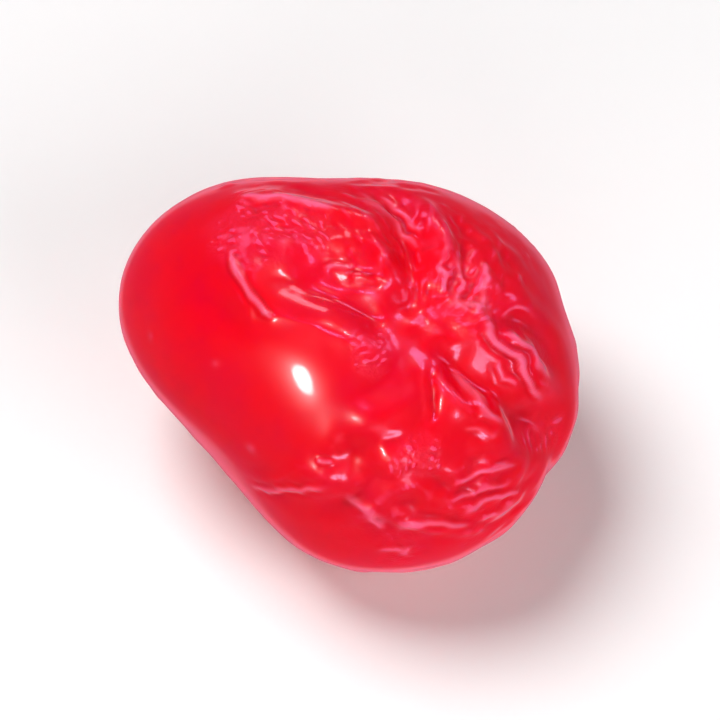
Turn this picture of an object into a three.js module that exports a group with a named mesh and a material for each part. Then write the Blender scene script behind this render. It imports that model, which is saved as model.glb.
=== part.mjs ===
// A candied cherry: pitted, without its stem, soaked in syrup and a little shrivelled, lying on a small
// flat spot. Sizes are in millimetres and angles in degrees. Z is up, X is its width and -Y its front.
// The flesh is one closed body: every point of a ball is moved out to the skin by the functions below.

import * as THREE from 'three';
import { ImprovedNoise } from 'three/addons/math/ImprovedNoise.js';
import { mergeVertices } from 'three/addons/utils/BufferGeometryUtils.js';

// The face is the side that shows, seen square on: x to its right, y up it and z out of it.
// It looks to the front and up, at this angle above the table.
const faceRise = 58;

// The plump outline round the face: a mean radius, and the waves that make it an uneven oval.
const outline = {
  mean: 10.85,
  waves: [
    { count: 2, height: 1.24, crest: -29 },
    { count: 3, height: 0.75, crest: 37 },
    { count: 4, height: 0.26, crest: -22 },
  ],
};
const depth = { front: 10.2, back: 10.6, plumpness: 2.02 };

// The stem end is a hollow that the folds of skin run into. A place on the skin is given as
// [the angle away from the stem end, the bearing round it, anticlockwise from the face's right].
const stemEnd = { lean: 20, bearing: 25, hollow: 0.85, reach: 3.1 };

// Folds run between two such places. A valley's height is below zero, and a ridge's is above it.
// The bow swings the middle of a fold round the stem end, and all of them wander a little.
const folds = [
  { from: [3, 98], to: [60, 104], bow: -7, height: -1.0, width: 0.9 },
  { from: [5, 152], to: [58, 145], bow: 9, height: -0.8, width: 1.1 },
  { from: [8, 190], to: [68, 150], bow: 4, height: 0.5, width: 1.4 },
  { from: [36, 182], to: [74, 160], bow: 5, height: -0.22, width: 1.0 },
  { from: [15, 120], to: [42, 148], bow: 0, height: -0.5, width: 0.7 },
  { from: [36, 112], to: [78, 138], bow: 3, height: 0.4, width: 0.8 },
  { from: [10, 12], to: [58, 330], bow: 0, height: 0.35, width: 0.75 },
  { from: [16, 12], to: [60, 340], bow: 6, height: -0.4, width: 0.7 },
  { from: [8, 62], to: [50, 66], bow: -8, height: -0.5, width: 0.8 },
  { from: [10, 38], to: [44, 34], bow: 5, height: -0.35, width: 0.7 },
  { from: [8, 282], to: [36, 272], bow: -4, height: -0.3, width: 0.7 },
  { from: [6, 228], to: [34, 216], bow: 8, height: -0.15, width: 0.9 },
  { from: [46, 238], to: [82, 226], bow: 0, height: 0.3, width: 0.6 },
  { from: [42, 252], to: [70, 246], bow: 0, height: -0.5, width: 0.8 },
  { from: [50, 262], to: [70, 304], bow: 0, height: 0.3, width: 0.8 },
  { from: [38, 268], to: [56, 312], bow: 0, height: -0.35, width: 0.8 },
];

const wander = { size: 3.6, turn: 10 };

// The slit that the pit left: a trench with one steep lip, and a flank that spreads as it goes out.
const slit = {
  from: [3, 318],
  to: [70, 327],
  bow: 1,
  depth: 0.95,
  lip: 0.75,
  flank: 0.9,
  spread: 1.6,
  rise: 0.3,
};

// The seam goes on from the slit to the blossom end, which is a small scar with soft folds round it.
const seam = { from: [52, 326], to: [170, 308], bow: 6, height: -0.35, width: 1.2 };
const blossomScar = { depth: 0.7, reach: 1.5 };
const backFolds = {
  count: 9,
  turn: 137.5,
  start: 171,
  end: 122,
  spread: 26,
  swing: 12,
  bow: 16,
  height: -0.5,
  width: 1.0,
};

// Dimples on the face, at x and y from its middle. Short rays of puckered skin stand round each one.
const dimples = [
  { x: -0.3, y: -5.0, depth: 0.5, reach: 1.1, rays: 5 },
  { x: -0.7, y: 4.8, depth: 0.3, reach: 0.8, rays: 2 },
  { x: 9.2, y: -3.4, depth: 0.5, reach: 1.1, rays: 3 },
];

// Round this point the skin is stretched smooth over the flesh, and little of the relief is left.
const stretched = { x: -4.6, y: -1.8, inner: 1.6, outer: 4.2, left: 0.15 };

// Patches of crumpled skin on the face. Between them the skin is stretched smooth.
const crumpledPatches = [
  { x: 5.4, y: 3.6, reach: 3.8, height: 0.3 },
  { x: 6.4, y: -6.2, reach: 3.0, height: 0.25 },
  { x: 1.8, y: -7.2, reach: 3.0, height: 0.22 },
  { x: 2.7, y: -4.8, reach: 2.2, height: 0.22 },
  { x: 1.5, y: 7.2, reach: 3.0, height: 0.25 },
  { x: -4.2, y: 6.6, reach: 3.0, height: 0.22 },
  { x: -1.2, y: 3.2, reach: 2.6, height: 0.18 },
];
const crumple = { size: 1.7, warp: 1.1 };
const backCrumple = { size: 3.4, height: 0.3, spread: 5.5 };
const lumps = { size: 6.5, height: 0.3 };

// The flat spot: the cherry's weight presses its lowest part flat, with a rounded edge.
const press = { depth: 1.15, edge: 0.35 };

// The points of the ball are drawn towards the stem end, where the folds are finest.
const fineness = 22;
const drawnIn = 0.24;

const skin = { colour: '#e0081f', roughness: 0.16, metalness: 0 };

const rad = THREE.MathUtils.degToRad;
const noise = new ImprovedNoise();

const fade = (t) => THREE.MathUtils.smoothstep(t, 0, 1);
const bell = (t) => Math.exp(-t * t);
const halfTurn = (angle) => Math.atan2(Math.sin(angle), Math.cos(angle));
const noiseAt = (p, size, shift) => noise.noise(p.x / size + shift, p.y / size + shift, p.z / size - shift);

// Turns the face's z to the stem end, without a twist.
const stemTurn = new THREE.Matrix4()
  .makeRotationZ(rad(stemEnd.bearing))
  .multiply(new THREE.Matrix4().makeRotationY(rad(stemEnd.lean)))
  .multiply(new THREE.Matrix4().makeRotationZ(-rad(stemEnd.bearing)));
const stemTurnBack = stemTurn.clone().invert();
const stemAxis = new THREE.Vector3(0, 0, 1).applyMatrix4(stemTurn);

// The place of a direction round the stem end.
function placeOf(direction) {
  const d = direction.clone().applyMatrix4(stemTurnBack);
  return { away: Math.acos(THREE.MathUtils.clamp(d.z, -1, 1)), bearing: Math.atan2(d.y, d.x) };
}

// The smooth body, before its relief.
function bodyRadius(d) {
  const across = Math.hypot(d.x, d.y);
  const angle = Math.atan2(d.y, d.x);
  let rim = outline.mean;
  for (const { count, height, crest } of outline.waves) {
    rim += height * across ** (count - 2) * Math.cos(count * (angle - rad(crest)));
  }
  const thick = THREE.MathUtils.mapLinear(d.z, -1, 1, depth.back, depth.front);
  const n = depth.plumpness;
  return ((across / rim) ** n + (Math.abs(d.z) / thick) ** n) ** (-1 / n);
}

// How far a point lies to the side of a fold, in millimetres, and how much of the fold is left there.
function besideFold({ from, to, bow }, place, radius) {
  const along = (place.away - rad(from[0])) / rad(to[0] - from[0]);
  const sweep = halfTurn(rad(to[1] - from[1]));
  const line = rad(from[1]) + sweep * along + rad(bow) * 4 * along * (1 - along);
  const off = halfTurn(place.bearing - line);
  const share = fade(along / 0.22) * fade((1 - along) / 0.5) * fade(3 - 2 * Math.abs(off));
  return { along, side: radius * Math.sin(place.away) * off, share };
}

// A fold is narrow at its line, and the skin beside it swells the other way.
function foldRelief(fold, place, radius) {
  const { side, share } = besideFold(fold, place, radius);
  const line = Math.exp(-Math.hypot(side / fold.width, 0.25) / 0.8);
  const swell = bell(Math.abs(side) / fold.width - 2);
  return share * fold.height * (1.2 * line - 0.35 * swell);
}

function slitRelief(place, radius) {
  const { along, side, share } = besideFold(slit, place, radius);
  const flank = slit.flank + slit.spread * along;
  const floor = bell(side / (side < 0 ? slit.lip : flank));
  const lip = bell(side / slit.lip + 2.2);
  return share * (slit.rise * lip - slit.depth * floor);
}

function dimpleRelief({ x, y, depth: deep, reach, rays }, p) {
  const distance = Math.hypot(p.x - x, p.y - y) / reach;
  const pucker = 0.5 + 0.5 * Math.cos(rays * Math.atan2(p.y - y, p.x - x));
  return deep * (0.3 * pucker * bell(distance - 1.7) - bell(distance));
}

// Crumpled skin: sharp little ridges where a warped noise passes through zero.
function crumpledSkin(p, size) {
  const shift = crumple.warp * noiseAt(p, 2 * size, 5.2);
  const warped = p.clone().addScalar(shift);
  const large = 1 - 2.4 * Math.abs(noiseAt(warped, size, 0.7));
  const small = 1 - 2.4 * Math.abs(noiseAt(warped, size / 2, 3.1));
  return 0.7 * large + 0.3 * small - 0.35;
}

function crumpleRelief(p, onFace) {
  let height = 0;
  for (const patch of crumpledPatches) {
    const distance = Math.hypot(p.x - patch.x, p.y - patch.y) / patch.reach;
    height = Math.max(height, patch.height * fade(1.3 - distance));
  }
  const behind = backCrumple.height * fade(0.5 + 0.9 * noiseAt(p, backCrumple.spread, 8.3));
  const front = onFace * height * crumpledSkin(p, crumple.size);
  return front + (1 - onFace) * behind * crumpledSkin(p, backCrumple.size);
}

// The soft folds round the blossom end, each a golden angle on from the last, and of uneven length.
const softFolds = Array.from({ length: backFolds.count }, (_, k) => {
  const bearing = k * backFolds.turn;
  const uneven = (k * 0.618) % 1;
  return {
    from: [backFolds.start, bearing],
    to: [backFolds.end - backFolds.spread * uneven, bearing + backFolds.swing],
    bow: backFolds.bow * (uneven - 0.5),
    height: backFolds.height * (0.6 + 0.8 * uneven),
    width: backFolds.width,
  };
});

// The share of the relief that is left, which is low where the skin is stretched.
function slackness(p, onFace) {
  const { x, y, inner, outer, left } = stretched;
  const slack = THREE.MathUtils.smoothstep(Math.hypot(p.x - x, p.y - y), inner, outer);
  return 1 - onFace * (1 - left) * (1 - slack);
}

// The relief of the skin: what is added to the smooth body's radius in a direction.
function relief(d, radius) {
  const place = placeOf(d);
  const p = d.clone().multiplyScalar(radius);
  const onFace = fade((d.z + 0.1) / 0.3);
  place.bearing += rad(wander.turn) * noiseAt(p, wander.size, 4.4);
  let height = lumps.height * noiseAt(p, lumps.size, 1.9);
  height -= stemEnd.hollow * bell((radius * place.away) / stemEnd.reach);
  height -= blossomScar.depth * bell((radius * (Math.PI - place.away)) / blossomScar.reach);
  for (const fold of [...folds, seam, ...softFolds]) height += foldRelief(fold, place, radius);
  height += slitRelief(place, radius);
  for (const dimple of dimples) height += onFace * dimpleRelief(dimple, p);
  height += crumpleRelief(p, onFace);
  return height * slackness(p, onFace);
}

// Presses the lowest part flat and stands the body on z = 0.
function restOnTable(points) {
  const table = Math.min(...points.map((p) => p.z)) + press.depth;
  for (const p of points) {
    const above = p.z - table;
    if (above <= -press.edge) p.z = 0;
    else if (above < press.edge) p.z = (above + press.edge) ** 2 / (4 * press.edge);
    else p.z = above;
  }
}

function centreOverOrigin(points) {
  const middle = new THREE.Box3().setFromPoints(points).getCenter(new THREE.Vector3());
  for (const p of points) {
    p.x -= middle.x;
    p.y -= middle.y;
  }
}

function cherryGeometry() {
  const ball = new THREE.IcosahedronGeometry(1, fineness);
  ball.deleteAttribute('normal');
  ball.deleteAttribute('uv');
  const geometry = mergeVertices(ball, 1e-6);
  const position = geometry.getAttribute('position');
  const points = [];
  for (let i = 0; i < position.count; i += 1) {
    const d = new THREE.Vector3().fromBufferAttribute(position, i);
    d.addScaledVector(stemAxis, drawnIn).normalize();
    const radius = bodyRadius(d);
    points.push(d.clone().multiplyScalar(radius + relief(d, radius)));
  }
  for (const p of points) p.applyAxisAngle(new THREE.Vector3(1, 0, 0), rad(90 - faceRise));
  restOnTable(points);
  centreOverOrigin(points);
  points.forEach((p, i) => position.setXYZ(i, p.x, p.y, p.z));
  geometry.computeVertexNormals();
  return geometry;
}

function makeCherry() {
  const { colour, roughness, metalness } = skin;
  const material = new THREE.MeshStandardMaterial({ color: colour, roughness, metalness });
  const cherry = new THREE.Mesh(cherryGeometry(), material);
  cherry.name = 'cherry';
  return cherry;
}

const part = new THREE.Group();
part.add(makeCherry());

export default part;
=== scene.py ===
# A candied cherry on a pale table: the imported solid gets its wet, crinkled skin.
import math

import bmesh
import bpy
import numpy as np
from mathutils import Matrix, Vector, noise
from mathutils.bvhtree import BVHTree


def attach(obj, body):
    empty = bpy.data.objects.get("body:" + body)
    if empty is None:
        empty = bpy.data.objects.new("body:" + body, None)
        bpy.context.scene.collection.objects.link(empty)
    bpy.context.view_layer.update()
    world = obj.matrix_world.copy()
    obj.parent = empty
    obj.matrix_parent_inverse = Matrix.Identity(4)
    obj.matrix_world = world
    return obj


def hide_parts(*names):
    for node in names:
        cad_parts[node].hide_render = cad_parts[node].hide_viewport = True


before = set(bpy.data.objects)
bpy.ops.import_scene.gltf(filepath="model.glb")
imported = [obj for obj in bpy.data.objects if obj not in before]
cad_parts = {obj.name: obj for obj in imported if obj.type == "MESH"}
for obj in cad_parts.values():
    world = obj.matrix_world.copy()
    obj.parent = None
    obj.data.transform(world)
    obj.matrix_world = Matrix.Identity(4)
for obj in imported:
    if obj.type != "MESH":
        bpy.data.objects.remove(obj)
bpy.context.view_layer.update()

mm = 0.001

# The face is the side that shows, seen square on: x to its right, y up it and z out of it, in millimetres
# from the fruit's middle.
face = {
    "middle": (0.539, 0.243, 9.661),  # where that middle is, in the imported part's millimetres
    "rise": 58,  # degrees above the table that the face looks up at
    "stemLean": 20,  # the stem end, from the face's own z
    "stemBearing": 25,
}
toTable = Matrix.Rotation(math.radians(90 - face["rise"]), 3, "X")
middle = Vector(face["middle"]) * mm
stemTurn = (
    Matrix.Rotation(math.radians(face["stemBearing"]), 3, "Z")
    @ Matrix.Rotation(math.radians(face["stemLean"]), 3, "Y")
    @ Matrix.Rotation(-math.radians(face["stemBearing"]), 3, "Z")
)
stemWay = stemTurn @ Vector((0, 0, 1))

# Lengths in mm, and the reach of a blur in rounds over neighbouring points
skin = {
    "cuts": 127,  # a cube of 128 squares a side becomes the ball
    "drawnIn": 0.3,  # how far its points are drawn to the stem end
    "smoothing": 4,
    "sharpen": 0.3,  # how much deeper the solid's folds are made
    "sharpenReach": 30,
    "sharpenLimits": (-0.5, 0.3),
    "stretchReach": 900,
    "stretchLift": 0.5,  # the most that stretched skin is moved
    "calmBand": 0.6,  # the height over which the relief sets in above the table
    "calmStart": 0.15,  # the share of that band with none
    "wideReach": 60,  # for the painted shade in hollows
    "tightReach": 6,  # for the painted shade in the valleys of fine wrinkles and the painted highlight on their crests
    "seed": 4,  # for the noise that turns the wrinkles and bends the ridges
}

# Wrinkles of three sizes. Each grows from noise: what lies between a near and a far blur is kept and
# pushed until it levels off. Heights in mm, and where on the face: x, y, reach and strength.
wrinkles = {
    "drawn": {
        "near": 6, "far": 24, "along": 6, "rounds": 12, "height": 0.022, "hazeAndPaintedSheen": 0.3, "seed": 3,
        "patches": [
            (4.6, 4.8, 3.8, 1.0), (1.2, 7.2, 3.8, 0.8), (-3.2, 6.0, 3.6, 0.6), (-0.6, 3.4, 3.0, 0.7),
            (3.4, -2.6, 2.2, 0.4), (0.6, -7.4, 3.0, 0.6),
        ],
    },
    "crinkled": {
        "near": 4, "far": 15, "along": 2, "rounds": 6, "height": 0.045, "hazeAndPaintedSheen": 0.8, "seed": 8,
        "patches": [
            (5.2, 3.4, 2.8, 0.7), (7.8, 0.4, 2.2, 0.6), (6.2, -6.6, 2.8, 0.45), (1.0, -7.6, 2.6, 0.5),
            (-4.6, 6.7, 2.8, 0.5), (0.5, 0.6, 1.3, 0.5), (9.3, -3.6, 1.3, 1.0), (0.2, 8.4, 2.2, 0.4),
        ],
    },
    "grainy": {
        "near": 2, "far": 8, "along": 1, "rounds": 2, "height": 0.035, "hazeAndPaintedSheen": 1, "seed": 21,
        "patches": [
            (2.7, -4.9, 1.7, 1.0), (0.5, 0.5, 1.4, 0.9), (5.2, 3.4, 2.2, 0.8), (-4.8, 6.8, 2.4, 1.0),
            (-2.9, 6.3, 1.8, 0.9), (-6.5, 6.2, 1.5, 1.0), (6.0, -6.8, 2.4, 0.5), (2.0, -9.4, 1.4, 0.6),
            (8.0, 0.2, 1.6, 0.4), (9.4, -3.8, 1.0, 0.6),
        ],
    },
}
growth = {
    "gain": 4.5,
    "crest": 1.5,  # crests are steeper than valleys
    "stemEndAt": 10,  # mm from the fruit's middle, the point that the wrinkles run to
    "swirl": 0.55,
    "swirlSize": 2.6,
    "strictness": 6,  # how closely a wrinkle keeps to the pull
    "slack": 1e-4,
    "fadingSize": 0.8,  # how long a wrinkle stays high
    "fadingSwing": 1.8,
    "lowest": 0.1,
}
puckers = [(-0.3, -5.0, 2.6), (9.2, -3.4, 2.2)]  # small dimples that pull the skin too: x, y, reach

# The edge of a patch, in shares of its reach, and the patches that noise makes on the hidden side
patchEdge = {"outer": 1.15, "soft": 0.6, "ragged": 0.55, "raggedSize": 1.3}
hiddenPatches = {"base": 0.35, "swing": 1.6, "size": 5.2, "strength": 0.7}

# Here the skin is pulled smooth over the flesh: x, y, reach and strength
stretched = [(-4.6, -1.6, 3.4, 0.9), (-3.4, -0.5, 3.1, 1.0), (-0.6, 5.0, 1.4, 0.85)]
stretchEdge = {"outer": 1.5, "soft": 0.9}

# Single ridges and grooves on the face: a path, a height and a width
ridgeLines = [
    {"path": [(4.4, -0.3), (5.9, -2.0), (7.3, -3.6)], "height": 0.14, "width": 0.2},
    {"path": [(7.2, -3.8), (5.1, -3.4)], "height": 0.08, "width": 0.2},
    {"path": [(6.2, 2.4), (6.8, 0.9), (7.9, 0.2), (8.6, -1.4), (9.3, -2.2)], "height": 0.24, "width": 0.2},
    {"path": [(7.3, 1.5), (8.6, 0.6), (9.7, -1.1)], "height": 0.2, "width": 0.16},
    {"path": [(5.2, 5.6), (4.9, 4.7), (5.2, 3.8), (4.7, 2.9), (4.1, 2.6)], "height": 0.13, "width": 0.2},
    {"path": [(6.1, 5.2), (6.4, 4.2), (6.1, 3.5), (6.3, 2.5)], "height": 0.11, "width": 0.2},
    {"path": [(3.8, 4.8), (4.3, 4.1), (4.1, 3.3)], "height": 0.14, "width": 0.18},
    {"path": [(4.6, 2.7), (5.5, 2.8), (6.4, 2.6)], "height": 0.14, "width": 0.24},
    {"path": [(6.9, 0.0), (7.2, -0.9), (8.1, -1.3)], "height": 0.12, "width": 0.18},
    {"path": [(-6.8, 5.8), (-6.2, 4.7), (-5.6, 3.5), (-4.9, 2.4), (-4.2, 1.8)], "height": 0.2, "width": 0.18},
    {"path": [(-2.0, 4.6), (-1.1, 4.6), (-0.2, 4.55)], "height": 0.14, "width": 0.26},
    {"path": [(-0.8, 4.25), (0.9, 4.35)], "height": -0.09, "width": 0.12},
    {"path": [(-6.8, 8.3), (-3.5, 8.3), (-1.0, 7.6)], "height": 0.16, "width": 0.24},
    {"path": [(-0.3, 8.7), (1.5, 7.2), (3.1, 5.4)], "height": 0.12, "width": 0.2},
    {"path": [(0.8, 8.5), (2.1, 7.6), (3.2, 6.2)], "height": 0.12, "width": 0.18},
    {"path": [(-5.8, -6.5), (-3.6, -6.6), (-1.3, -6.4)], "height": 0.13, "width": 0.14},
    {"path": [(-2.3, -5.0), (-1.3, -5.1)], "height": 0.12, "width": 0.16},
    {"path": [(-0.9, -6.6), (0.4, -7.7), (1.4, -8.5)], "height": 0.14, "width": 0.24},
    {"path": [(1.4, -8.6), (3.6, -8.2), (6.0, -8.4)], "height": 0.13, "width": 0.2},
    {"path": [(4.6, -6.4), (6.1, -5.6), (8.2, -5.2)], "height": 0.13, "width": 0.18},
    {"path": [(4.4, -7.2), (6.0, -6.6), (7.8, -6.1)], "height": 0.1, "width": 0.16},
    {"path": [(4.8, -7.9), (6.7, -7.0), (8.3, -6.6)], "height": 0.12, "width": 0.18},
    {"path": [(5.9, -8.3), (7.0, -7.8), (8.3, -7.0)], "height": 0.1, "width": 0.16},
    {"path": [(0.7, -9.8), (1.8, -9.6), (2.9, -9.8)], "height": 0.1, "width": 0.2},
    {"path": [(3.5, 0.0), (3.7, -1.8), (3.5, -3.2)], "height": -0.1, "width": 0.2},
]
ridgeShape = {
    "bend": 0.22,  # mm that a ridge wanders off its path
    "bendSize": 0.9,
    "taper": 0.25,  # the share of its length that each end takes to rise
    "groove": 0.3,  # the groove beside it, as a share of its height
    "grooveAt": 2,  # how many widths away that groove is
    "paintedHighlightHeight": 0.16,  # mm, the height at which its painted highlight is strongest
}
# Small beads of skin that catch the light: x, y, reach, height
beads = [
    (0.53, 3.2, 0.45, 0.1), (-5.45, -4.4, 0.35, 0.08), (-6.8, 9.0, 0.4, 0.1), (-7.3, -0.2, 0.3, 0.05),
    (-3.8, 5.9, 0.35, 0.07), (-10.6, 1.2, 0.3, 0.05), (6.2, 2.6, 0.5, 0.08),
]


def fade(t):
    t = np.clip(t, 0, 1)
    return t * t * (3 - 2 * t)


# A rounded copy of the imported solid, to shrink the skin onto
def solidUnder(node):
    mesh = bpy.data.objects[node].data.copy()
    copy = bpy.data.objects.new("solidCopy", mesh)
    bpy.context.collection.objects.link(copy)
    bm = bmesh.new()
    bm.from_mesh(mesh)
    bmesh.ops.remove_doubles(bm, verts=bm.verts, dist=1e-7)
    bm.to_mesh(mesh)
    bm.free()
    rounding = copy.modifiers.new("rounding", "SUBSURF")
    rounding.levels = rounding.render_levels = 2
    tree = BVHTree.FromObject(copy, bpy.context.evaluated_depsgraph_get())
    bpy.data.objects.remove(copy)
    bpy.data.meshes.remove(mesh)
    return tree


# A ball of even squares, finer round the stem end
def fineBall():
    bm = bmesh.new()
    bmesh.ops.create_cube(bm, size=2)
    bmesh.ops.subdivide_edges(bm, edges=bm.edges, cuts=skin["cuts"], use_grid_fill=True)
    for v in bm.verts:
        even = Vector(math.tan(c * math.pi / 4) for c in v.co)
        v.co = toTable @ (even.normalized() + skin["drawnIn"] * stemWay).normalized()
    return bm


def shrinkOn(bm, tree):
    for v in bm.verts:
        v.co = tree.ray_cast(middle, v.co.normalized())[0]


def smooth(bm, rounds):
    for i in range(rounds):
        bmesh.ops.smooth_vert(
            bm, verts=bm.verts, factor=0.5, use_axis_x=True, use_axis_y=True, use_axis_z=True
        )


def restOnTable(bm):
    for v in bm.verts:
        v.co.z = max(v.co.z, 0)


def facePlaces(bm):
    return (np.array([v.co for v in bm.verts]) - np.array(middle)) @ np.array(toTable) / mm


# The skin as arrays: places and normals on the face, heights over the table, and each point's neighbours
def skinArrays(bm):
    bm.verts.ensure_lookup_table()
    bm.normal_update()
    count = len(bm.verts)
    edges = np.array([[v.index for v in e.verts] for e in bm.edges])
    corners = np.array([[v.index for v in f.verts] for f in bm.faces])
    diagonals = np.vstack([corners[:, [0, 2]], corners[:, [1, 3]]])
    return {
        "at": facePlaces(bm),
        "normal": np.array([v.normal for v in bm.verts]) @ np.array(toTable),
        "beside": neighbours(edges, count),
        "across": neighbours(diagonals, count),
        "height": np.array([v.co.z for v in bm.verts]) / mm,
    }


# Four neighbours a point, where a point with three counts itself as well
def neighbours(links, count):
    pairs = np.vstack([links, links[:, ::-1]])
    pairs = pairs[np.argsort(pairs[:, 0], kind="stable")]
    first = np.searchsorted(pairs[:, 0], np.arange(count))
    rank = np.arange(len(pairs)) - first[pairs[:, 0]]
    table = np.tile(np.arange(count)[:, None], 4)
    table[pairs[:, 0], rank] = pairs[:, 1]
    return table


def blur(values, beside, rounds):
    for i in range(rounds):
        values = 0.5 * values + 0.5 * values[beside].mean(axis=1)
    return values


def noiseAt(at, size, shift):
    return np.array([noise.noise(Vector(p) / size + Vector((shift, 7.7, 1.3))) for p in at])


def swirlAt(at, size):
    return np.array([noise.noise_vector(Vector(p) / size) for p in at])


# Soft round patches on the face, each the strongest where it overlaps
def patchesAt(at, patches, edge, ragged=0):
    strength = np.zeros(len(at))
    for x, y, reach, much in patches:
        far = np.hypot(at[:, 0] - x, at[:, 1] - y) / reach
        strength = np.maximum(strength, much * fade((edge["outer"] - far + ragged) / edge["soft"]))
    return strength


def crumpledMask(at, patches, seed):
    ragged = patchEdge["ragged"] * noiseAt(at, patchEdge["raggedSize"], seed)
    shown = patchesAt(at, patches, patchEdge, ragged)
    hidden = fade(hiddenPatches["base"] + hiddenPatches["swing"] * noiseAt(at, hiddenPatches["size"], seed))
    onFace = fade((at[:, 2] + 1) / 3)
    return onFace * shown + (1 - onFace) * hidden * hiddenPatches["strength"]


def stretchedMask(at):
    return patchesAt(at, stretched, stretchEdge) * fade((at[:, 2] - 2) / 3)


# The way the skin is pulled: to the stem end, and to a small pucker where one is near
def pullOf(at, normal):
    pull = np.tile(np.array(stemWay), (len(at), 1)) * growth["stemEndAt"] - at
    pull /= np.linalg.norm(pull, axis=1, keepdims=True)
    for x, y, reach in puckers:
        to = np.array((x, y, 0)) - at
        to[:, 2] = 0
        far = np.linalg.norm(to, axis=1)
        share = (np.exp(-((far / reach) ** 2)) * (at[:, 2] > 0))[:, None]
        pull = pull * (1 - share) + share * to / (far[:, None] + 1e-6)
    pull += growth["swirl"] * swirlAt(at, growth["swirlSize"])
    pull -= normal * np.sum(pull * normal, axis=1, keepdims=True)
    return pull / (np.linalg.norm(pull, axis=1, keepdims=True) + 1e-9)


def growWrinkles(arrays, kind, mask):
    at, beside = arrays["at"], arrays["beside"]
    around = np.hstack([beside, arrays["across"]])
    apart = at[around] - at[:, None]
    reach = np.linalg.norm(apart, axis=2) + 1e-9
    pull = pullOf(at, arrays["normal"])
    weight = (np.sum(apart * pull[:, None], axis=2) / reach) ** growth["strictness"] + growth["slack"]
    weight /= weight.sum(axis=1, keepdims=True)
    h = np.random.default_rng(kind["seed"]).standard_normal(len(at))
    for i in range(kind["rounds"]):
        near = blur(h, beside, kind["near"])
        far = blur(near, beside, kind["far"] - kind["near"])
        for j in range(kind["along"]):
            near = 0.5 * near + 0.5 * np.sum(weight * near[around], axis=1)
        h = np.tanh(growth["gain"] * mask * (near - far))
    return h


# The solid's folds, a little deeper, and the stretched places pulled even
def foldRelief(at, beside):
    radius = np.linalg.norm(at, axis=1)
    fold = radius - blur(radius, beside, skin["sharpenReach"])
    relief = skin["sharpen"] * np.clip(fold, *skin["sharpenLimits"])
    even = blur(radius, beside, skin["stretchReach"]) - radius
    pulled = skin["stretchLift"] * np.tanh(even / skin["stretchLift"])
    return relief + stretchedMask(at) * (pulled - relief)


# Adds every kind of wrinkle, and tells how crumpled each point is
def addWrinkles(arrays, relief):
    at = arrays["at"]
    crumpled = np.zeros(len(at))
    for name, kind in wrinkles.items():
        mask = crumpledMask(at, kind["patches"], kind["seed"])
        h = growWrinkles(arrays, kind, mask)
        fading = fade(0.5 + growth["fadingSwing"] * noiseAt(at, growth["fadingSize"], kind["seed"] + 4))
        raised = kind["height"] * np.expm1(growth["crest"] * h) * mask
        relief = relief + raised * (growth["lowest"] + (1 - growth["lowest"]) * fading)
        # How hazy the syrup is here, and how much painted sheen and painted crest highlight it gets
        crumpled = np.maximum(crumpled, mask * kind["hazeAndPaintedSheen"])
        print(name, "wrinkles", round(float(h.min()), 2), round(float(h.max()), 2))
    return relief, crumpled


def alongPath(place, path):
    nearest = np.full(len(place), 1e3)
    along = np.zeros(len(place))
    total = len(path) - 1
    for i in range(total):
        start, run = path[i], path[i + 1] - path[i]
        t = np.clip((place - start) @ run / (run @ run), 0, 1)
        far = np.linalg.norm(place - start - t[:, None] * run, axis=1)
        closer = far < nearest
        nearest = np.where(closer, far, nearest)
        along = np.where(closer, (i + t) / total, along)
    return nearest, along


def ridgeRelief(at):
    place = at[:, :2] + swirlAt(at, ridgeShape["bendSize"])[:, :2] * ridgeShape["bend"]
    relief = np.zeros(len(at))
    for line in ridgeLines:
        nearest, along = alongPath(place, np.array(line["path"]))
        taper = fade(along / ridgeShape["taper"]) * fade((1 - along) / ridgeShape["taper"])
        across = nearest / line["width"]
        groove = ridgeShape["groove"] * np.exp(-((across - ridgeShape["grooveAt"]) ** 2))
        relief += line["height"] * taper * (np.exp(-(across**1.5)) - groove)
    front = np.flatnonzero(at[:, 2] > 0)
    for x, y, reach, height in beads:
        bead = at[front[np.argmin(np.hypot(at[front, 0] - x, at[front, 1] - y))]]
        relief += height * np.exp(-(np.linalg.norm(at - bead, axis=1) / reach) ** 2)
    return relief * (at[:, 2] > 0)


def raiseSkin(bm, height, relief):
    calm = fade(height / skin["calmBand"] - skin["calmStart"])
    for v, up in zip(bm.verts, relief * calm):
        v.co += v.normal * float(up) * mm
    restOnTable(bm)
    smooth(bm, 1)
    restOnTable(bm)


def keep(bm, name, values):
    layer = bm.verts.layers.float.new(name)
    for v, value in zip(bm.verts, values):
        v[layer] = value


def makeSkin():
    noise.seed_set(skin["seed"])
    bm = fineBall()
    shrinkOn(bm, solidUnder("cherry"))
    smooth(bm, skin["smoothing"])
    arrays = skinArrays(bm)
    at, beside = arrays["at"], arrays["beside"]
    relief, crumpled = addWrinkles(arrays, foldRelief(at, beside))
    ridges = ridgeRelief(at)
    relief = relief + ridges
    print("relief", round(float(relief.min()), 3), round(float(relief.max()), 3))
    raiseSkin(bm, arrays["height"], relief)

    radius = np.linalg.norm(facePlaces(bm), axis=1)
    keep(bm, "wide", radius - blur(radius, beside, skin["wideReach"]))
    keep(bm, "tight", radius - blur(radius, beside, skin["tightReach"]))
    keep(bm, "crumpled", crumpled)
    # How much painted highlight each point on a single ridge gets
    keep(bm, "ridged", fade(ridges / ridgeShape["paintedHighlightHeight"]))
    mesh = bpy.data.meshes.new("cherrySkin")
    bm.to_mesh(mesh)
    bm.free()
    mesh.shade_smooth()
    piece = bpy.data.objects.new("cherrySkin", mesh)
    bpy.context.collection.objects.link(piece)
    print("skin", len(mesh.polygons), "faces")
    return piece


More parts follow.
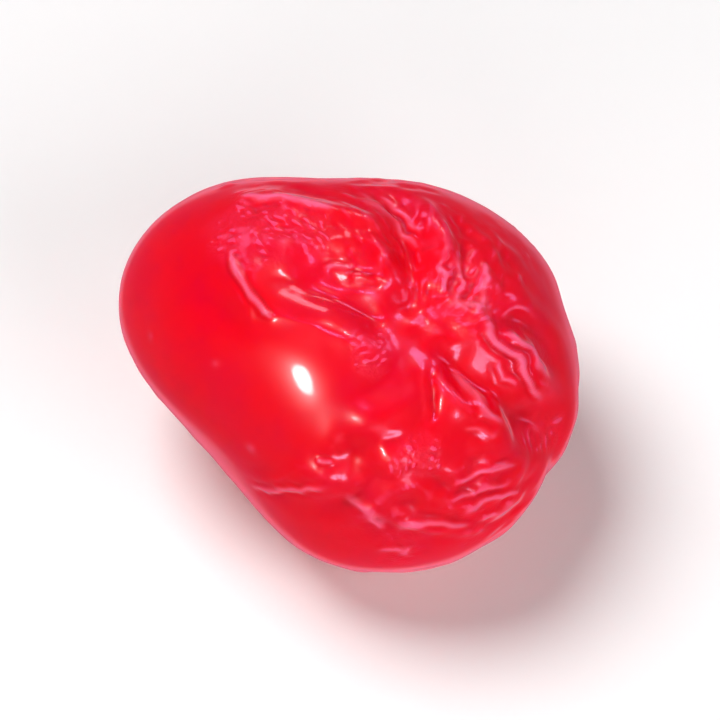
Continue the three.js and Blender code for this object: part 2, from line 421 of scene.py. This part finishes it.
# Heights and sizes in mm, and pairs are the two ends of a range
candied = {
    "body": (0.8, 0.0, 0.01, 1),
    "deeper": (0.75, 0.0, 0.018, 1),  # soft mottling in the body
    "mottleSize": 4,
    "mottleRange": (0.4, 0.65),
    # Painted shade: a darker deep red laid into hollows and wrinkle valleys
    "valley": (0.55, 0.0, 0.008, 1),
    # mm below its surroundings where the painted shade in a hollow is darkest
    "hollowShadeDepth": 0.5,
    "valleyDepth": 0.05,  # below its surroundings where the painted shade in a fine wrinkle is darkest
    "hazeAndPaintedSheen": (0.85, 0.015, 0.06, 1),  # painted sheen on crumpled skin
    "paintedSheenShare": 0.25,
    # Painted highlight: a pale pink laid on the crests of fine wrinkles
    "crest": (0.9, 0.07, 0.2, 1),
    "crestHighlightHeights": (0.004, 0.02),
    "crestHighlightShares": (0.2, 0.75),  # the painted highlight's share on smooth and on crumpled skin
    # Painted highlight: a pale pink laid along the single ridges, standing in for their glints
    "ridge": (0.95, 0.2, 0.36, 1),
    "ridgeShare": 0.45,
    "edge": (0.95, 0.22, 0.3, 1),  # painted reflection: the pale rim of syrup seen edge on
    "rimReflectionRange": (0.7, 0.88),
    "crumpledFrom": 0.8,  # this much and more counts as fully crumpled
    "roughness": (0.28, 0.4),  # on smooth and on crumpled skin
    "coat": (1, 0.45),
    "grain": 0.22,
    "grainDepth": 0.04,
}
# The same all over, by the shader's own names
syrupAndFlesh = {
    "IOR": 1.25,
    "Subsurface Weight": 0.7,
    "Subsurface Radius": (1.0, 0.12, 0.08),
    "Subsurface Scale": 1.2 * mm,
    "Coat IOR": 1.22,
    "Coat Roughness": 0.09,
}


def newGroup(name, inputs, outputs):
    tree = bpy.data.node_groups.new(name, "ShaderNodeTree")
    for socket, kind in inputs.items():
        tree.interface.new_socket(socket, in_out="INPUT", socket_type="NodeSocket" + kind)
    for socket, kind in outputs.items():
        tree.interface.new_socket(socket, in_out="OUTPUT", socket_type="NodeSocket" + kind)
    return tree, tree.nodes.new("NodeGroupInput").outputs, tree.nodes.new("NodeGroupOutput").inputs


def setOrLink(tree, socket, value):
    if isinstance(value, bpy.types.NodeSocket):
        tree.links.new(value, socket)
    else:
        socket.default_value = value


def ranged(tree, value, low, high, lowest=0.0, highest=1.0):
    node = tree.nodes.new("ShaderNodeMapRange")
    node.interpolation_type = "SMOOTHSTEP"
    given = {"Value": value, "From Min": low, "From Max": high, "To Min": lowest, "To Max": highest}
    for socket, v in given.items():
        setOrLink(tree, node.inputs[socket], v)
    return node.outputs["Result"]


def product(tree, a, b):
    node = tree.nodes.new("ShaderNodeMath")
    node.operation = "MULTIPLY"
    setOrLink(tree, node.inputs[0], a)
    setOrLink(tree, node.inputs[1], b)
    return node.outputs["Value"]


# Sockets 6, 7 and 2 are the Mix node's two colours and its result
def blend(tree, share, below, above):
    node = tree.nodes.new("ShaderNodeMix")
    node.data_type = "RGBA"
    setOrLink(tree, node.inputs["Factor"], share)
    setOrLink(tree, node.inputs[6], below)
    setOrLink(tree, node.inputs[7], above)
    return node.outputs[2]


def noiseNode(tree, vector, size):
    node = tree.nodes.new("ShaderNodeTexNoise")
    node.inputs["Scale"].default_value = 1 / (size * mm)
    node.inputs["Detail"].default_value = 2
    tree.links.new(vector, node.inputs["Vector"])
    return node.outputs["Fac"]


# Painted shade: deep red in the folds and valleys. Clear red on the body. Painted highlights: paler on
# crests, ridges and crumpled skin, and a painted rim reflection edge on
def skinColourAndPaintedLight():
    given = {"Place": "Vector"} | dict.fromkeys(("Wide", "Tight", "Crumpled", "Ridged", "Edge"), "Float")
    tree, inputs, outputs = newGroup("skinColourAndPaintedLight", given, {"Colour": "Color"})
    mottled = ranged(tree, noiseNode(tree, inputs["Place"], candied["mottleSize"]), *candied["mottleRange"])
    colour = blend(tree, mottled, candied["body"], candied["deeper"])
    # Painted shade: hollows and wrinkle valleys are darkened to deep red
    raised = product(
        tree,
        ranged(tree, inputs["Wide"], -candied["hollowShadeDepth"], 0),
        ranged(tree, inputs["Tight"], -candied["valleyDepth"], 0),
    )
    colour = blend(tree, raised, candied["valley"], colour)
    # Painted sheen: a paler pinkish red laid over crumpled skin
    colour = blend(tree, product(tree, inputs["Crumpled"], candied["paintedSheenShare"]), colour, candied["hazeAndPaintedSheen"])
    # Painted highlight on the crests of fine wrinkles
    crest = ranged(tree, inputs["Tight"], *candied["crestHighlightHeights"])
    share = ranged(tree, inputs["Crumpled"], 0, candied["crumpledFrom"], *candied["crestHighlightShares"])
    colour = blend(tree, product(tree, crest, share), colour, candied["crest"])
    # Painted highlight along the single ridges
    colour = blend(tree, product(tree, inputs["Ridged"], candied["ridgeShare"]), colour, candied["ridge"])
    # Painted reflection: a pale rim where the skin is seen edge on
    colour = blend(tree, ranged(tree, inputs["Edge"], *candied["rimReflectionRange"]), colour, candied["edge"])
    tree.links.new(colour, outputs["Colour"])
    return tree


# Syrup lies smooth on the body and grainy on crumpled skin
def skinGloss():
    given = {"Place": "Vector", "Crumpled": "Float"}
    made = {"Roughness": "Float", "Coat": "Float", "Normal": "Vector"}
    tree, inputs, outputs = newGroup("skinGloss", given, made)
    rough = ranged(tree, inputs["Crumpled"], 0, 1, *candied["roughness"])
    coat = ranged(tree, inputs["Crumpled"], 0, candied["crumpledFrom"], *candied["coat"])
    tree.links.new(rough, outputs["Roughness"])
    tree.links.new(coat, outputs["Coat"])
    bump = tree.nodes.new("ShaderNodeBump")
    bump.inputs["Distance"].default_value = candied["grainDepth"] * mm
    tree.links.new(inputs["Crumpled"], bump.inputs["Strength"])
    tree.links.new(noiseNode(tree, inputs["Place"], candied["grain"]), bump.inputs["Height"])
    tree.links.new(bump.outputs["Normal"], outputs["Normal"])
    return tree


def candiedRed():
    mat = bpy.data.materials.new("candiedRed")
    mat.use_nodes = True
    nodes, links = mat.node_tree.nodes, mat.node_tree.links
    shader = nodes["Principled BSDF"]
    tone = nodes.new("ShaderNodeGroup")
    tone.node_tree = skinColourAndPaintedLight()
    gloss = nodes.new("ShaderNodeGroup")
    gloss.node_tree = skinGloss()
    # How edge on the skin is seen, for the painted rim reflection
    facing = nodes.new("ShaderNodeLayerWeight")
    facing.inputs["Blend"].default_value = 0.5
    links.new(facing.outputs["Facing"], tone.inputs["Edge"])
    place = nodes.new("ShaderNodeTexCoord").outputs["Object"]
    for group in (tone, gloss):
        links.new(place, group.inputs["Place"])
    for name in ("wide", "tight", "crumpled", "ridged"):
        kept = nodes.new("ShaderNodeAttribute")
        kept.attribute_name = name
        links.new(kept.outputs["Fac"], tone.inputs[name.capitalize()])
        if name == "crumpled":
            links.new(kept.outputs["Fac"], gloss.inputs["Crumpled"])
    links.new(tone.outputs["Colour"], shader.inputs["Base Color"])
    links.new(gloss.outputs["Roughness"], shader.inputs["Roughness"])
    links.new(gloss.outputs["Normal"], shader.inputs["Normal"])
    links.new(gloss.outputs["Coat"], shader.inputs["Coat Weight"])
    for socket, value in syrupAndFlesh.items():
        shader.inputs[socket].default_value = value
    return mat


studio = {
    "distance": 260,  # mm from the lens to the cherry's middle
    "lens": 250,
    "floorReach": 2,  # metres
    "floorColour": (0.94, 0.93, 0.94, 1),
    "floorRoughness": 0.6,
    "world": (1, 0.13, 0.22, 1),
    "worldStrength": 0.85,
}

# Discs of light round the face: the way to each in the face's x, y and z, then distance and width in mm.
# The first three light the fruit and aren't mirrored in it, and the others are only there to be mirrored.
lights = {
    "key": {"way": (-0.35, 0.62, 0.7), "far": 300, "wide": 170, "watts": 0.84, "colour": (1, 0.99, 0.98)},
    "fill": {"way": (0.57, -0.22, 0.79), "far": 280, "wide": 200, "watts": 0.37, "colour": (0.98, 1, 1)},
    "front": {"way": (-0.1, -0.55, 0.83), "far": 300, "wide": 200, "watts": 0.25, "colour": (0.98, 1, 1)},
    "sun": {"way": (-0.45, -0.36, 0.82), "far": 300, "wide": 56, "watts": 0.8, "colour": (1, 1, 1)},
    "window": {"way": (0.1, 0.99, 0.12), "far": 300, "wide": 70, "watts": 0.15, "colour": (1, 0.75, 0.95)},
    "spark": {"way": (0.23, 0.67, 0.7), "far": 300, "wide": 44, "watts": 0.3, "colour": (1, 0.9, 1)},
    "skyLeft": {"way": (-0.45, 0.89, 0.09), "far": 300, "wide": 100, "watts": 0.2, "colour": (0.5, 0.4, 1)},
    "skyRight": {"way": (0.55, 0.57, 0.61), "far": 300, "wide": 100, "watts": 0.4, "colour": (0.5, 0.45, 1)},
    "skySide": {"way": (0.97, -0.05, 0.22), "far": 300, "wide": 100, "watts": 0.16, "colour": (0.5, 0.45, 1)},
    "skyLow": {"way": (0.31, -0.71, 0.64), "far": 300, "wide": 80, "watts": 0.4, "colour": (0.8, 0.6, 1)},
    "skyFront": {"way": (0.82, 0.52, 0.22), "far": 300, "wide": 70, "watts": 0.14, "colour": (0.5, 0.4, 1)},
    "skyHigh": {"way": (-0.14, 0.24, 0.96), "far": 300, "wide": 80, "watts": 0.3, "colour": (0.5, 0.35, 1)},
}
unmirrored = ("key", "fill", "front")


def makeFloor():
    bm = bmesh.new()
    bmesh.ops.create_grid(bm, x_segments=1, y_segments=1, size=studio["floorReach"])
    mesh = bpy.data.meshes.new("floor")
    bm.to_mesh(mesh)
    bm.free()
    floor = bpy.data.objects.new("floor", mesh)
    bpy.context.collection.objects.link(floor)
    mat = bpy.data.materials.new("paleFloor")
    mat.use_nodes = True
    shader = mat.node_tree.nodes["Principled BSDF"]
    shader.inputs["Base Color"].default_value = studio["floorColour"]
    shader.inputs["Roughness"].default_value = studio["floorRoughness"]
    shader.inputs["Specular IOR Level"].default_value = 0
    mesh.materials.append(mat)
    floor.visible_glossy = False


def lightRoom():
    world = bpy.data.worlds.new("room")
    bpy.context.scene.world = world
    world.use_nodes = True
    background = world.node_tree.nodes["Background"]
    background.inputs["Color"].default_value = studio["world"]
    background.inputs["Strength"].default_value = studio["worldStrength"]
    world.cycles_visibility.diffuse = False
    for name, disc in lights.items():
        lamp = bpy.data.lights.new(name, "AREA")
        lamp.shape = "DISK"
        lamp.size = disc["wide"] * mm
        lamp.energy = disc["watts"]
        lamp.color = disc["colour"]
        light = bpy.data.objects.new(name, lamp)
        bpy.context.collection.objects.link(light)
        light.location = middle + toTable @ Vector(disc["way"]).normalized() * disc["far"] * mm
        light.rotation_euler = (middle - light.location).to_track_quat("-Z", "Y").to_euler()
        light.visible_glossy = name not in unmirrored
        light.visible_diffuse = name in unmirrored
    print("room with", len(lights), "lights")


def placeCamera():
    lens = bpy.data.cameras.new("camera")
    lens.lens = studio["lens"]
    lens.clip_start = 5 * mm
    camera = bpy.data.objects.new("camera", lens)
    bpy.context.collection.objects.link(camera)
    outward = toTable @ Vector((0, 0, 1))
    camera.location = middle + outward * studio["distance"] * mm
    camera.rotation_euler = outward.to_track_quat("Z", "Y").to_euler()
    bpy.context.scene.camera = camera


piece = makeSkin()
piece.data.materials.append(candiedRed())
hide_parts("cherry")
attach(piece, "root")
makeFloor()
lightRoom()
placeCamera()
bpy.context.scene.view_settings.view_transform = "Standard"
